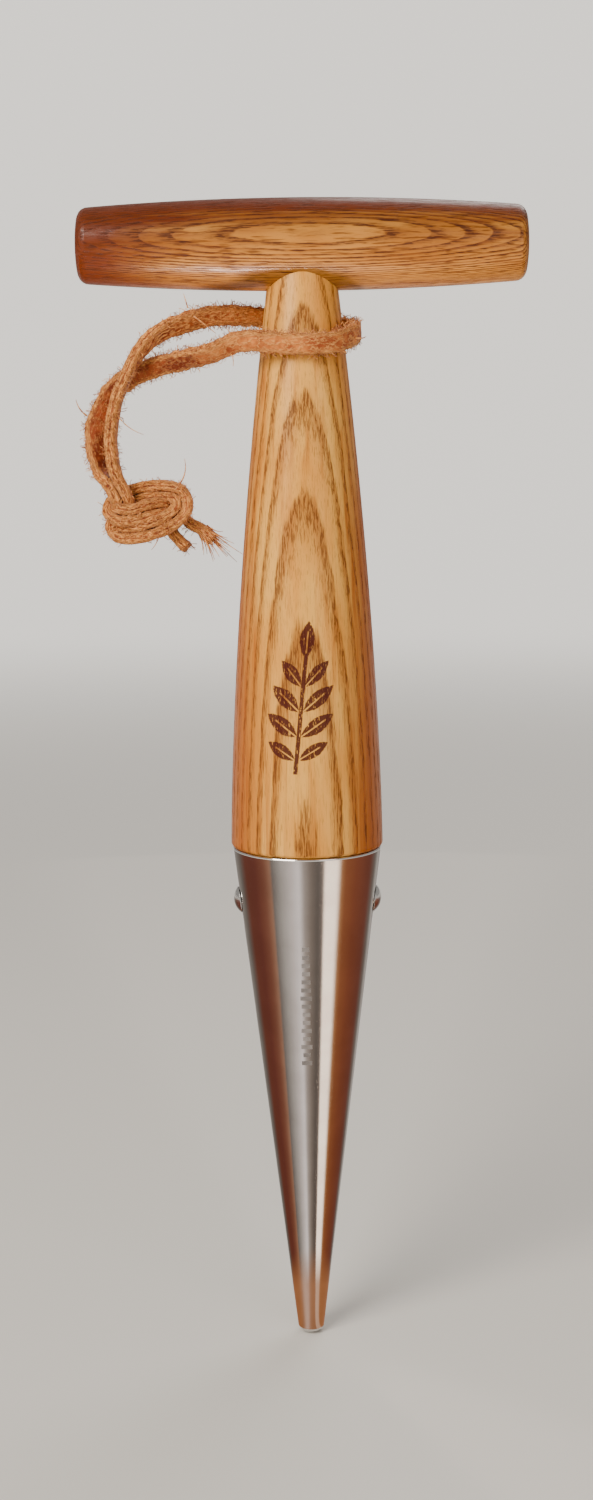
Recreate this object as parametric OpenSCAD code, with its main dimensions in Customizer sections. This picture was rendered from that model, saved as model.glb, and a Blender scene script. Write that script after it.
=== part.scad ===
// Garden dibber: a turned crossbar and shaft, a hollow steel point pinned to the
// shaft, and a leather hanging thong looped round the neck.
// +Z runs up the tool's axis from the tip, and the crossbar lies along X.

/* [Crossbar] */
// Length of the crossbar, end to end
bar_length = 112; // [90:1:150]
// Diameter of the crossbar at its middle
bar_mid_d = 23.3; // [21:0.1:30]
// Diameter of the crossbar at its ends
bar_end_d = 18.8; // [15:0.1:21]
// Rounding of the crossbar's end edges
bar_edge_r = 2.6; // [1:0.1:4]

/* [Shaft] */
// Height of wood from the steel point's rim to the crossbar's axis
shaft_length = 150; // [120:1:190]
// How far the foot's wood stands proud of the steel point's rim
foot_overhang = 0.4; // [0:0.1:1]
// Diameter that the shaft's taper reaches at the crossbar's axis
taper_top_d = 15.4; // [14:0.1:18.6]
// Fullness of the taper: 1 is a straight cone, more is fuller at the foot
taper_power = 1.6; // [1.2:0.05:2]
// Rounding of the foot's lower edge
foot_edge_r = 1; // [0.4:0.1:2]
// Diameter of the round tenon glued into the crossbar
tenon_d = 11; // [8:0.1:13.5]
// Height of the tenon's end above the crossbar's axis
tenon_rise = 5; // [2:0.1:6.5]
// Length of the spigot that fills the mouth of the steel point
spigot_length = 42; // [25:1:60]

/* [Steel point] */
// Length of the steel point, rim to tip
point_length = 121; // [95:1:160]
// Outer diameter of the steel point at its rim
rim_d = 37; // [30:0.1:45]
// Diameter of the blunt tip
tip_d = 6.1; // [5:0.1:8]
// Rounding of the tip's edge
tip_edge_r = 1.3; // [0.4:0.1:2]
// Rounding of the rim's outer edge
rim_edge_r = 0.5; // [0.2:0.1:0.8]
// Thickness of the steel wall
wall = 1.2; // [0.8:0.1:1.6]
// Length of solid steel in the tip
tip_solid = 14; // [8:1:20]

/* [Pins] */
// Distance of the pins below the steel point's rim
pin_drop = 13.6; // [10:0.1:20]
// Diameter of a pin's domed head
pin_head_d = 6.8; // [5:0.1:8]
// Height of a pin's dome above the steel
pin_head_h = 1.6; // [1:0.1:2.4]
// Diameter of a pin's shank
pin_shank_d = 3; // [2:0.1:4]
// Length of a pin's shank below the steel's surface
pin_shank_length = 10; // [6:0.5:12]

/* [Thong] */
// Width of the leather lace
lace_w = 5; // [4:0.1:6]
// Thickness of the leather lace
lace_t = 2.5; // [2:0.1:3]
// Thickness of the tied knot
knot_d = 12.4; // [10:0.1:15]
// Length of the tied knot
knot_length = 21.6; // [18:0.1:26]

/* [Fits] */
// Radial glue gap round the tenon and under the cope
glue_gap = 0.05; // [0.02:0.01:0.1]
// Radial glue gap between the spigot and the steel
spigot_gap = 0.15; // [0.1:0.01:0.3]
// Gap between the shaft's shoulder and the steel rim
seat_gap = 0.1; // [0.05:0.01:0.2]
// Gap under a pin's head and round its shank
pin_gap = 0.03; // [0.01:0.01:0.06]
// Glue space past the end of the tenon and of each pin
end_gap = 0.5; // [0.2:0.1:1]

/* [Hidden] */
$fn = 96;

// Heights above the tip
rim_z = point_length;
bar_z = rim_z + shaft_length;
pin_z = rim_z - pin_drop;
spigot_z = rim_z - spigot_length;

// Radii
bar_r = bar_mid_d / 2;
bar_end_r = bar_end_d / 2;
taper_top_r = taper_top_d / 2;
rim_r = rim_d / 2;
foot_r = rim_r + foot_overhang;
tip_r = tip_d / 2;
tenon_r = tenon_d / 2;
shank_r = pin_shank_d / 2;
head_r = pin_head_d / 2;
knot_r = knot_d / 2;

// Steps along each turned profile, and round each small rounded edge
bar_steps = 28;
taper_steps = 24;
edge_steps = 5;
// Chamfer on the ends of the spigot and the tenon
lead_in = 0.8;
// Length of the tenon's root inside the shaft
tenon_root = 6;
// Straight skirt under a pin's dome, which the steel's curve cuts to fit
head_skirt = 0.6;
// Length of a pin's tapered end, and the radius at its very tip
pin_taper = 1.5;
pin_tip_r = 0.5;
// Overlap that keeps cuts clean
spill = 1;

// Quarter circle from straight down to straight out, round a centre
function edge_arc(centre, r, from, to) =
    [for (i = [0 : edge_steps])
        let (a = from + (to - from) * i / edge_steps)
        centre + r * [cos(a), sin(a)]];

// ---- crossbar ----

// Radius of the barrel at a distance x from its middle
function barrel_r(x) = bar_r - (bar_r - bar_end_r) * pow(2 * x / bar_length, 2);

// The barrel as a blank of revolution along X, grown outwards by a gap
module bar_blank(grow) {
    end_x = bar_length / 2 - bar_edge_r;
    edge_r = barrel_r(end_x) - bar_edge_r;
    profile = concat(
        [[0, -bar_length / 2 - grow]],
        edge_arc([edge_r, -end_x], bar_edge_r + grow, -90, 0),
        [for (i = [1 : bar_steps - 1])
            let (x = -end_x + 2 * end_x * i / bar_steps)
            [barrel_r(x) + grow, x]],
        edge_arc([edge_r, end_x], bar_edge_r + grow, 0, 90),
        [[0, bar_length / 2 + grow]]);
    translate([0, 0, bar_z]) rotate([0, 90, 0]) rotate_extrude() polygon(profile);
}

module crossbar() {
    color("burlywood")
    difference() {
        bar_blank(0);
        translate([0, 0, bar_z - bar_r - spill])
            cylinder(r = tenon_r + glue_gap, h = bar_r + spill + tenon_rise + end_gap);
    }
}

// ---- shaft ----

// Radius of the shaft at a height z above its shoulder
function taper_r(z) =
    foot_r - (foot_r - taper_top_r) * pow((z - rim_z) / shaft_length, taper_power);

// Outer and inner radius of the steel point at a height z
function point_r(z) = tip_r + (rim_r - tip_r) * z / point_length;
point_angle = atan((rim_r - tip_r) / point_length);
function bore_r(z) = point_r(z) - wall / cos(point_angle);
function spigot_r(z) = bore_r(z) - spigot_gap / cos(point_angle);

// The shaft's blank ends where the crossbar's barrel is wider than the neck
neck_r = taper_r(bar_z - bar_r);
blank_z = bar_z - sqrt(bar_r * bar_r - neck_r * neck_r);

module shaft_blank() {
    foot_top = rim_z + foot_edge_r;
    profile = concat(
        [[0, spigot_z],
         [spigot_r(spigot_z) - lead_in, spigot_z],
         [spigot_r(spigot_z + lead_in), spigot_z + lead_in],
         [spigot_r(rim_z), rim_z]],
        edge_arc([taper_r(foot_top) - foot_edge_r, foot_top], foot_edge_r, -90, 0),
        [for (i = [1 : taper_steps])
            let (z = foot_top + (blank_z - foot_top) * i / taper_steps)
            [taper_r(z), z]],
        [[0, blank_z]]);
    rotate_extrude() polygon(profile);
}

module tenon() {
    root_z = bar_z - bar_r - tenon_root;
    end_z = bar_z + tenon_rise;
    translate([0, 0, root_z]) cylinder(r = tenon_r, h = end_z - lead_in - root_z);
    translate([0, 0, end_z - lead_in]) cylinder(r1 = tenon_r, r2 = tenon_r - lead_in, h = lead_in);
}

module shaft() {
    color("sandybrown")
    union() {
        difference() {
            shaft_blank();
            bar_blank(glue_gap);
            for (side = [-1, 1]) at_pin(side) shank_hole(pin_shank_length + end_gap);
        }
        tenon();
    }
}

// ---- steel point ----

// Outside of the steel point as a solid, grown outwards by a gap
module point_blank(grow) {
    top_z = rim_z - seat_gap;
    profile = concat(
        [[0, -grow]],
        edge_arc([point_r(tip_edge_r) - tip_edge_r, tip_edge_r], tip_edge_r + grow, -90, -point_angle),
        edge_arc([point_r(top_z) - rim_edge_r, top_z - rim_edge_r], rim_edge_r + grow, -point_angle, 90),
        [[0, top_z + grow]]);
    rotate_extrude() polygon(profile);
}

module steel_point() {
    mouth_z = rim_z + spill;
    color("silver")
    difference() {
        point_blank(0);
        rotate_extrude() polygon([[0, tip_solid], [bore_r(tip_solid), tip_solid],
                                  [bore_r(mouth_z), mouth_z], [0, mouth_z]]);
        for (side = [-1, 1]) at_pin(side) shank_hole(2 * wall);
    }
}

// ---- pins ----

// Puts a child on the steel at a pin's place, with +Z straight out of the steel
module at_pin(side) {
    mirror([side < 0 ? 1 : 0, 0, 0])
        translate([point_r(pin_z), 0, pin_z])
            rotate([0, 90 + point_angle, 0])
                children();
}

// Hole for a shank, from outside the steel down to a depth below its surface
module shank_hole(depth) {
    translate([0, 0, -depth]) cylinder(r = shank_r + pin_gap, h = depth + spill, $fn = 48);
}

module pin_head() {
    dome_r = (head_r * head_r + pin_head_h * pin_head_h) / (2 * pin_head_h);
    translate([0, 0, -head_skirt]) cylinder(r = head_r, h = head_skirt);
    intersection() {
        translate([0, 0, pin_head_h - dome_r]) sphere(r = dome_r);
        cylinder(r = head_r, h = pin_head_h + spill);
    }
}

module pin_shank() {
    translate([0, 0, pin_taper - pin_shank_length])
        cylinder(r = shank_r, h = pin_shank_length - pin_taper + pin_head_h / 2, $fn = 48);
    translate([0, 0, -pin_shank_length])
        cylinder(r1 = pin_tip_r, r2 = shank_r, h = pin_taper, $fn = 48);
}

module pin(side) {
    color("lightgray")
    union() {
        difference() {
            at_pin(side) pin_head();
            point_blank(pin_gap);
        }
        at_pin(side) pin_shank();
    }
}

module pin_left() pin(-1);
module pin_right() pin(1);

// ---- thong ----

// The lace's route from tail to tail, with heights counted from the crossbar's axis
route = [
    [-22, -1, -75], [-28, 0, -71], [-36, 0, -66], [-44.5, -1, -62],
    [-47, -1.5, -56.5], [-48, -2, -50], [-47.5, -2.5, -44], [-46, -3, -37.5], [-43.5, -3, -32],
    [-40.5, -3, -26.5], [-35.5, -2, -22], [-27, 2, -18.5], [-20, 6, -17], [-13, 10, -17],
    [-7.5, 12, -17.5], [-2.5, 13, -18], [2.5, 13, -18.5], [7.5, 11, -19.5], [11, 7, -20.5],
    [13, 2.5, -21.5], [13, -2.5, -22.5], [11, -7, -24], [7.5, -11, -25.5], [2.5, -13, -26],
    [-2.5, -13, -26], [-7.5, -12.5, -25.5], [-13, -11, -25], [-17.5, -8.5, -25.5],
    [-22.5, -6, -27.5], [-30.5, -2, -29], [-39, 2, -31], [-43, 2.5, -32.5], [-47.8, 3, -36],
    [-50.6, 3, -41], [-52.2, 2.5, -45], [-52, 2, -50], [-50.8, 1.5, -56.5], [-48.6, 1, -62],
    [-46, 0.5, -66], [-39.5, 0, -70.5], [-32.5, 0, -75]];
// Distances from the axis between which the lace turns from flat on the neck to edge on
turn_from = 15;
turn_to = 34;
// Middle of the knot, and the slope of its long axis
knot_at = [-38.8, 0, -66.5];
knot_slope = 14;

function unit(v) = v / norm(v);
function clamp(v) = min(1, max(0, v));
function heading(i) = unit(route[min(i + 1, len(route) - 1)] - route[max(i - 1, 0)]);
function turned(p) = clamp((norm([p.x, p.y]) - turn_from) / (turn_to - turn_from));
function across(i) =
    let (t = heading(i), w = [0, turned(route[i]), 1 - turned(route[i])])
    unit(w - (w * t) * t);

// The lace's section: a flat strip with its corners taken off
section = [for (s = [[1, 0.5], [0.7, 1], [-0.7, 1], [-1, 0.5], [-1, -0.5], [-0.7, -1], [0.7, -1], [1, -0.5]])
    [s.x * lace_w / 2, s.y * lace_t / 2]];
function ring(i) =
    let (w = across(i), n = cross(heading(i), w))
    [for (s = section) route[i] + s.x * w + s.y * n];

module thong_lace() {
    sides = len(section);
    last = len(route) - 1;
    points = [for (i = [0 : last]) each ring(i)];
    walls = [for (i = [0 : last - 1], k = [0 : sides - 1])
        let (a = i * sides + k, b = i * sides + (k + 1) % sides)
        each [[a, b + sides, b], [a, a + sides, b + sides]]];
    near_cap = [for (k = [1 : sides - 2]) [0, k, k + 1]];
    far_cap = [for (k = [1 : sides - 2]) [last * sides, last * sides + k + 1, last * sides + k]];
    color("peru") translate([0, 0, bar_z]) polyhedron(points, concat(walls, near_cap, far_cap));
}

module thong_knot() {
    straight = knot_length - knot_d;
    color("chocolate")
    translate([0, 0, bar_z]) translate(knot_at) rotate([0, 90 + knot_slope, 0])
    union() {
        translate([0, 0, -straight / 2]) cylinder(r = knot_r, h = straight);
        for (end = [-1, 1]) translate([0, 0, end * straight / 2]) sphere(r = knot_r);
    }
}

crossbar();
shaft();
steel_point();
pin_left();
pin_right();
thong_lace();
thong_knot();
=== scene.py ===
# %% [markdown]
# # A garden dibber
# A dibber presses planting holes. This one is a turned crossbar and shaft of ash, a hollow steel
# point pinned to the shaft, and a leather lace looped round the neck to hang it by.
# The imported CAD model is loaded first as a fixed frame, and every piece below is placed by it.

# %% Load the frame
import math

import bmesh
import bpy
import numpy as np
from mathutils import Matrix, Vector, noise


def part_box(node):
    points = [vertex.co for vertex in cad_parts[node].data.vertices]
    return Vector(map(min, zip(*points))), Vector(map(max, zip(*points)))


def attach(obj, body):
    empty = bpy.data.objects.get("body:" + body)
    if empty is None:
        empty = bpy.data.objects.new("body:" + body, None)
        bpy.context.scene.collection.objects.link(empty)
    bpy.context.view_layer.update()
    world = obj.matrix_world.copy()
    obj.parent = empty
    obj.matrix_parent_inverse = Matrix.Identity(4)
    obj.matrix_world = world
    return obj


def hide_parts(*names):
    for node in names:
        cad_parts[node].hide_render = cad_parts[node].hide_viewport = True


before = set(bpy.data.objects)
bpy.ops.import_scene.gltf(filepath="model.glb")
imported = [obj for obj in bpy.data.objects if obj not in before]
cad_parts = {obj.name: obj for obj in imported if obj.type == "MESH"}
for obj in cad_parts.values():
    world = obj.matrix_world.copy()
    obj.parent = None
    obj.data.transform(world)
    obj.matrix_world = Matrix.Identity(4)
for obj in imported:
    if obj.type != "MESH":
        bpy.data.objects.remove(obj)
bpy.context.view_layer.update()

MM = 0.001
MM_PER_M = 1000
CENTIMETRE = 0.01
bar_low, bar_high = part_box("crossbar")
point_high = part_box("steel_point")[1]
BAR_Z = (bar_low.z + bar_high.z) / 2
RIM_Z = point_high.z
RIM_R = point_high.x
print("crossbar axis at", round(BAR_Z, 4), "m, rim at", round(RIM_Z, 4), "m")

# %% [markdown]
# ## Camera
# A hand tool is best seen straight on and close to. The camera stands level with the middle of the
# shaft, and looks along +Y. A vertical shift frames the long point below without tilting the camera,
# so upright edges stay upright. The small roll is the lean that a hand-held view has.

# %% Camera
VIEW_DISTANCE = 0.445
VIEW_HEIGHT = 0.2078
VIEW_OFFSET = -0.0019
LENS_MM = 42.7
VIEW_SHIFT = -0.1687
VIEW_ROLL = math.radians(0.5)

camera_data = bpy.data.cameras.new("camera")
camera_data.lens = LENS_MM
camera_data.sensor_width = 36
camera_data.shift_y = VIEW_SHIFT
camera = bpy.data.objects.new("camera", camera_data)
camera.location = (VIEW_OFFSET, -VIEW_DISTANCE, VIEW_HEIGHT)
camera.rotation_euler = (math.radians(90), VIEW_ROLL, 0)
bpy.context.scene.collection.objects.link(camera)
bpy.context.scene.camera = camera
print("camera", tuple(round(c, 4) for c in camera.location))

# %% [markdown]
# ## Writing node trees as sums
# A shader or a geometry tree is mostly arithmetic. Dragging a Math node for each plus sign hides the
# idea, so one small class wraps a socket and lets Python's own operators add the nodes. Everything
# that isn't arithmetic comes from one method, which takes the node's type, its settings and its inputs.

# %% Socket arithmetic
class Value:
    """A number that flows through a node tree."""

    def __init__(self, tree, socket):
        self.tree, self.socket = tree, socket

    def math(self, operation, *others):
        return self.tree.add("ShaderNodeMath", {"operation": operation}, self, *others)

    def __add__(self, other):
        return self.math("ADD", other)

    def __sub__(self, other):
        return self.math("SUBTRACT", other)

    def __mul__(self, other):
        return self.math("MULTIPLY", other)

    def __truediv__(self, other):
        return self.math("DIVIDE", other)

    def __pow__(self, other):
        return self.math("POWER", other)

    def __neg__(self):
        return self * -1

    def __rsub__(self, other):
        return -self + other

    def __rtruediv__(self, other):
        return self ** -1 * other

    __radd__, __rmul__ = __add__, __mul__

    def __abs__(self):
        return self.math("ABSOLUTE")

    def at_least(self, other):
        return self.math("MAXIMUM", other)

    def at_most(self, other):
        return self.math("MINIMUM", other)

    def fraction(self):
        return self.math("FRACT")

    def root(self):
        return self.at_least(0).math("SQRT")

    def step(self, low, high):
        """0 below low, 1 above high, and smooth between."""
        settings = {"interpolation_type": "SMOOTHSTEP"}
        return self.tree.add("ShaderNodeMapRange", settings, self, low, high)


print("values can be added, multiplied, compared and stepped")

# %% [markdown]
# ## A tree that nodes are added to
# Some nodes hold sockets for every kind of data under one name, so those are found by their number.

# %% Node tree
OBJECT_PLACE = 3
MIX_COLOURS_IN, MIX_COLOUR_OUT = (0, 6, 7), 2
RANDOM_LOW, RANDOM_HIGH, RANDOM_OUT = 2, 3, 1


class Tree:
    """A node tree that nodes are added to from code."""

    def __init__(self, tree):
        self.tree = tree

    def add(self, kind, settings=None, *inputs, output=0, **named):
        node = self.tree.nodes.new(kind)
        for key, setting in (settings or {}).items():
            setattr(node, key, setting)
        for key, given in [*enumerate(inputs), *named.items()]:
            socket = node.inputs[key if isinstance(key, int) else key.replace("_", " ")]
            self.feed(socket, given)
        return Value(self, node.outputs[output]) if len(node.outputs) else node

    def feed(self, socket, given):
        if isinstance(given, Value):
            self.tree.links.new(given.socket, socket)
        elif given is not None:
            socket.default_value = given

    def xyz(self, vector):
        split = self.add("ShaderNodeSeparateXYZ", None, vector).socket.node
        return [Value(self, split.outputs[i]) for i in range(3)]

    def vector(self, x, y, z):
        return self.add("ShaderNodeCombineXYZ", None, x, y, z)

    def noise(self, vector, scale, detail=2, rough=0.5):
        return self.add("ShaderNodeTexNoise", None, Vector=vector, Scale=scale, Detail=detail,
                        Roughness=rough)

    def place(self):
        """Where a point of the surface lies, in the object's own coordinates."""
        return self.add("ShaderNodeTexCoord", output=OBJECT_PLACE)

    def blend(self, share, first, second):
        """Colour first where share is 0, second where it is 1."""
        node = self.add("ShaderNodeMix", {"data_type": "RGBA"}).socket.node
        for number, given in zip(MIX_COLOURS_IN, (share, first, second)):
            self.feed(node.inputs[number], given)
        return Value(self, node.outputs[MIX_COLOUR_OUT])

    def random(self, low, high, seed):
        """A number that differs from one instance to the next."""
        node = self.add("FunctionNodeRandomValue", {"data_type": "FLOAT"}).socket.node
        for name, given in ((RANDOM_LOW, low), (RANDOM_HIGH, high), ("Seed", seed)):
            self.feed(node.inputs[name], given)
        return Value(self, node.outputs[RANDOM_OUT])


def colour(red, green, blue):
    """A colour socket's value, from linear red, green and blue."""
    return (red, green, blue, 1)


def new_material(name):
    """A material with a Principled shader: the tree, the shader node and the material."""
    material = bpy.data.materials.new(name)
    material.use_nodes = True
    tree = Tree(material.node_tree)
    return tree, material.node_tree.nodes["Principled BSDF"], material


print("node trees ready")

# %% [markdown]
# ## The lace's route
# A cord is settled before it is shaped: how long it is, how stiff, and how it runs. The lace is one
# flat strip of leather. It goes behind the neck, round the front, and both ends are tied together in
# an overhand knot. The loop follows the same points as the CAD model. The knot could be a lump, but a
# real overhand path crosses itself over and under, and light falls into its gaps, so it is tied here.

# %% Route of the loop, in metres from the crossbar's axis
LOOP = [
    (-0.047, -0.0015, -0.0565), (-0.048, -0.002, -0.050), (-0.0475, -0.0025, -0.044),
    (-0.046, -0.003, -0.0375), (-0.0435, -0.003, -0.032), (-0.0405, -0.003, -0.0265),
    (-0.0355, -0.002, -0.022), (-0.027, 0.002, -0.0185), (-0.020, 0.006, -0.017),
    (-0.013, 0.010, -0.017), (-0.0075, 0.012, -0.0175), (-0.0025, 0.013, -0.018),
    (0.0025, 0.013, -0.0185), (0.0075, 0.011, -0.0195), (0.011, 0.007, -0.0205),
    (0.013, 0.0025, -0.0215), (0.013, -0.0025, -0.0225), (0.011, -0.007, -0.024),
    (0.0075, -0.011, -0.0255), (0.0025, -0.013, -0.026), (-0.0025, -0.013, -0.026),
    (-0.0075, -0.0125, -0.0255), (-0.013, -0.011, -0.025), (-0.0175, -0.0085, -0.0255),
    (-0.0225, -0.006, -0.0275), (-0.0305, -0.002, -0.029), (-0.039, 0.002, -0.031),
    (-0.043, 0.0025, -0.0325), (-0.0478, 0.003, -0.036), (-0.0506, 0.003, -0.041),
    (-0.0522, 0.0025, -0.045), (-0.052, 0.002, -0.050), (-0.0508, 0.0015, -0.0565)]

# The knot, in millimetres from its middle: right, up, and towards the viewer
KNOT_MIDDLE = (-0.0388, 0, -0.0665)
KNOT_PATH = [
    (-8.2, 6.2, 1.0), (-6.6, 2.8, 0.8), (-6.4, -0.4, -1.4), (-8.2, -2.9, -1.6), (-7.2, -5.0, 0.2),
    (-3.6, -5.2, 1.8), (1.0, -4.2, 2.4), (5.4, -2.2, 2.4), (8.2, 0.8, 1.8), (7.4, 3.9, 0.4),
    (3.4, 5.0, -1.2), (-1.4, 4.7, -2.6), (-5.6, 3.4, -3.4), (-8.8, 1.2, -1.8), (-7.4, -0.7, 1.6),
    (-3.4, -0.8, 2.6), (0.6, 0.4, 1.9), (4.2, 0.6, -0.8), (7.0, -2.0, -2.2)]
FIBROUS_TAIL = [(10.2, -3.2, -2.4), (12.6, -4.4, -2.2), (14.4, -5.8, -1.8), (15.6, -7.6, -1.4)]
SHORT_TAIL = [(5.6, -5.0, -2.0), (7.4, -7.4, -1.6), (9.4, -9.2, -1.0)]
LACE_WIDTH = 5.2 * MM
LACE_THICK = 2.9 * MM
STRAND_GAP = 1.42 * MM


def smooth_line(points, spacing):
    """A Catmull-Rom curve through the points, cut into even steps."""
    p = np.array(points, float)
    p = np.vstack([2 * p[0] - p[1], p, 2 * p[-1] - p[-2]])
    knots = np.concatenate([[0], np.cumsum(np.linalg.norm(np.diff(p, axis=0), axis=1) ** 0.5)])
    curve = []
    for i in range(1, len(p) - 2):
        t0, t1, t2, t3 = knots[i - 1:i + 3]
        for t in np.linspace(t1, t2, 24, endpoint=False):
            a = (t1 - t) / (t1 - t0) * p[i - 1] + (t - t0) / (t1 - t0) * p[i]
            b = (t2 - t) / (t2 - t1) * p[i] + (t - t1) / (t2 - t1) * p[i + 1]
            c = (t3 - t) / (t3 - t2) * p[i + 1] + (t - t2) / (t3 - t2) * p[i + 2]
            d = (t2 - t) / (t2 - t0) * a + (t - t0) / (t2 - t0) * b
            e = (t3 - t) / (t3 - t1) * b + (t - t1) / (t3 - t1) * c
            curve.append((t2 - t) / (t2 - t1) * d + (t - t1) / (t2 - t1) * e)
    curve.append(p[-2])
    return even_steps(np.array(curve), spacing)


def even_steps(line, spacing):
    """The same line, cut into steps of even length."""
    run = np.concatenate([[0], np.cumsum(np.linalg.norm(np.diff(line, axis=0), axis=1))])
    places = np.linspace(0, run[-1], max(2, round(run[-1] / spacing) + 1))
    return np.stack([np.interp(places, run, line[:, k]) for k in range(3)], axis=1)


def unit(rows):
    """Each row's direction, as a vector of length 1."""
    return rows / np.linalg.norm(rows, axis=-1, keepdims=True)


def headings(line):
    """Which way the line runs at each of its points."""
    return unit(np.gradient(line, axis=0))


def from_knot(points):
    """Points given from the knot's middle, as points of the object."""
    middle = np.array(KNOT_MIDDLE)
    return np.array([middle + MM * np.array((right, -near, up)) for right, up, near in points])


# Both runs follow the knot side by side, one on the inner and one on the outer side of each bend
bundle = smooth_line(from_knot(KNOT_PATH), 2 * MM)
aside = unit(np.cross(headings(bundle), [0, 1, 0]))
upper_run = np.vstack([bundle + STRAND_GAP * aside, from_knot(FIBROUS_TAIL)])
lower_run = np.vstack([bundle - STRAND_GAP * aside, from_knot(SHORT_TAIL)])
LACE_STEP = 0.4 * MM
lace_line = smooth_line(np.vstack([upper_run[::-1], LOOP, lower_run]), LACE_STEP)
lace_line += [0, 0, BAR_Z]

# %% [markdown]
# ## The lace
# A strip of leather lies flat where it is wrapped, and turns on edge where it bends sideways. So each
# step of the route has a width direction as well as a place. The section has a smooth grain side, a
# rough flesh side and two cut edges, and each point of it is pushed about by noise, as cut leather is.

# %% Flat lace along the route
# The width's direction at points of the loop. In the knot and the tails it is along Y, so that the
# cut edges face the viewer.
ON_EDGE = (0, 1, 0)
WIDTH_TURNS = {
    0: (0.1, 1, 0), 4: (0.1, 1, 0), 5: (0.15, 1, -0.25), 6: (0.2, 0.8, -0.6), 7: (0.05, 0.5, -0.9),
    8: (0, 0.2, -1), 9: (0, 0, -1), 16: (0, 0, -1), 18: (0, 0.2, -1), 21: (0, 0.35, -1),
    22: (0, 0.45, -1), 23: (0, 0.75, -0.8), 24: (0, 0.9, -0.7), 25: (0, 0.6, -0.8),
    26: (0.2, 0.3, -1), 27: (0.5, 0.3, -0.9), 28: (0.8, 0.3, -0.5), 29: (0.95, 0.25, -0.2),
    30: (1, 0.25, 0), 31: (1, 0.35, 0), 32: (0.7, 0.8, 0)}
SECTION_SIDES = 24
# In the knot the lace is squeezed to this share of its width, and eases to it over this many steps
KNOT_WIDTH = 0.72
KNOT_EASE = 20
KNOT_MARGIN = 10


def places_of(points):
    """How far along the lace, in steps, each point lies."""
    goal = np.array(points) + [0, 0, BAR_Z]
    return [int(np.argmin(np.linalg.norm(lace_line - spot, axis=1))) for spot in goal]


loop_places = places_of([LOOP[i] for i in WIDTH_TURNS])
knot_steps = (loop_places[0] - KNOT_MARGIN, loop_places[-1] + KNOT_MARGIN)


def width_directions():
    """The direction of the lace's width at each step, square to the way it runs, and that way."""
    places = [0, knot_steps[0], *loop_places, knot_steps[1], len(lace_line) - 1]
    turns = [ON_EDGE, ON_EDGE, *WIDTH_TURNS.values(), ON_EDGE, ON_EDGE]
    steps = np.arange(len(lace_line))
    wanted = np.stack([np.interp(steps, places, [turn[k] for turn in turns]) for k in range(3)], axis=1)
    ahead = headings(lace_line)
    return unit(wanted - (wanted * ahead).sum(1, keepdims=True) * ahead), ahead


print("the loop's width is set at", len(WIDTH_TURNS), "points")

# %% [markdown]
# ## The lace's section and its skin
# The section is a rounded rectangle, as a power of cosine and sine. Every point of it is pushed in or
# out by noise, more on the cut edges, and the middle of each cut edge is split. How frayed each point
# is goes into a list, which becomes an attribute that the finish and the fuzz both read.

# %% Section and surface of the lace
SQUARENESS = 0.5
COARSE, FINE = 0.30, 0.24
FACE_SHARE, EDGE_SHARE = 0.55, 0.9
SPLIT_DEPTH, SPLIT_CHANGE = 0.28, 0.5
SPLIT_FRAY, FLESH_FRAY = 0.1, 0.25
CUT_EDGE_MIDDLES = (0, SECTION_SIDES // 2)


def lace_section(turn):
    """A point of the section, for a turn from 0 to 1, as shares of half the width and thickness."""
    angle = 2 * math.pi * turn
    wide, thick = math.cos(angle), math.sin(angle)
    return (math.copysign(abs(wide) ** SQUARENESS, wide), math.copysign(abs(thick) ** SQUARENESS, thick))


def unevenness(place):
    """How far a point of the lace is pushed in or out, in metres."""
    spot = Vector(place) / MM
    coarse = noise.noise(spot * 0.5 + Vector((7, 3, 1)))
    fine = noise.noise(spot * 2.1)
    return (COARSE * coarse + FINE * fine) * MM


def make_lace():
    width, ahead = width_directions()
    thick = np.cross(ahead, width)
    points, frays = [], []
    for i, centre in enumerate(lace_line):
        from_knots = min(i - knot_steps[0], knot_steps[1] - i)
        outside_knot = min(1, max(0, from_knots / KNOT_EASE))
        half_width = LACE_WIDTH / 2 * (KNOT_WIDTH + (1 - KNOT_WIDTH) * outside_knot)
        half_thick = LACE_THICK / 2
        for k in range(SECTION_SIDES):
            a, b = lace_section(k / SECTION_SIDES)
            out = a * half_width * width[i] + b * half_thick * thick[i]
            push = unevenness(centre + out) * (FACE_SHARE + EDGE_SHARE * abs(a) ** 3)
            split = k in CUT_EDGE_MIDDLES
            if split:
                # Fibres bridge the split here and there
                push -= (SPLIT_DEPTH + SPLIT_CHANGE * noise.noise(Vector(centre) / MM * 1.1)) * MM
            points.append(centre + out + push * unit(out))
            frays.append(SPLIT_FRAY if split else min(1.0, abs(a) ** 4 + FLESH_FRAY * max(0, -b)))
    return points, frays


lace_points, lace_frays = make_lace()
print("lace has", len(lace_points), "points")

# %% [markdown]
# ## From points to a mesh
# The sections are joined ring to ring into a tube, and each end is closed on a middle point. The strip
# map runs along the lace and once round its section, so that a pattern can follow the leather.

# %% The lace's mesh
def lace_faces(rings):
    """The four-sided faces between neighbouring sections."""
    sides = SECTION_SIDES
    return [(i * sides + k, i * sides + (k + 1) % sides,
             (i + 1) * sides + (k + 1) % sides, (i + 1) * sides + k)
            for i in range(rings - 1) for k in range(sides)]


def new_piece(name, points, faces, material=None, smooth=True):
    """A mesh object with its place in its mesh."""
    mesh = bpy.data.meshes.new(name)
    mesh.from_pydata([tuple(p) for p in points], [], faces)
    mesh.validate()
    if smooth:
        mesh.shade_smooth()
    piece = bpy.data.objects.new(name, mesh)
    bpy.context.scene.collection.objects.link(piece)
    if material:
        mesh.materials.append(material)
    return piece


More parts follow.
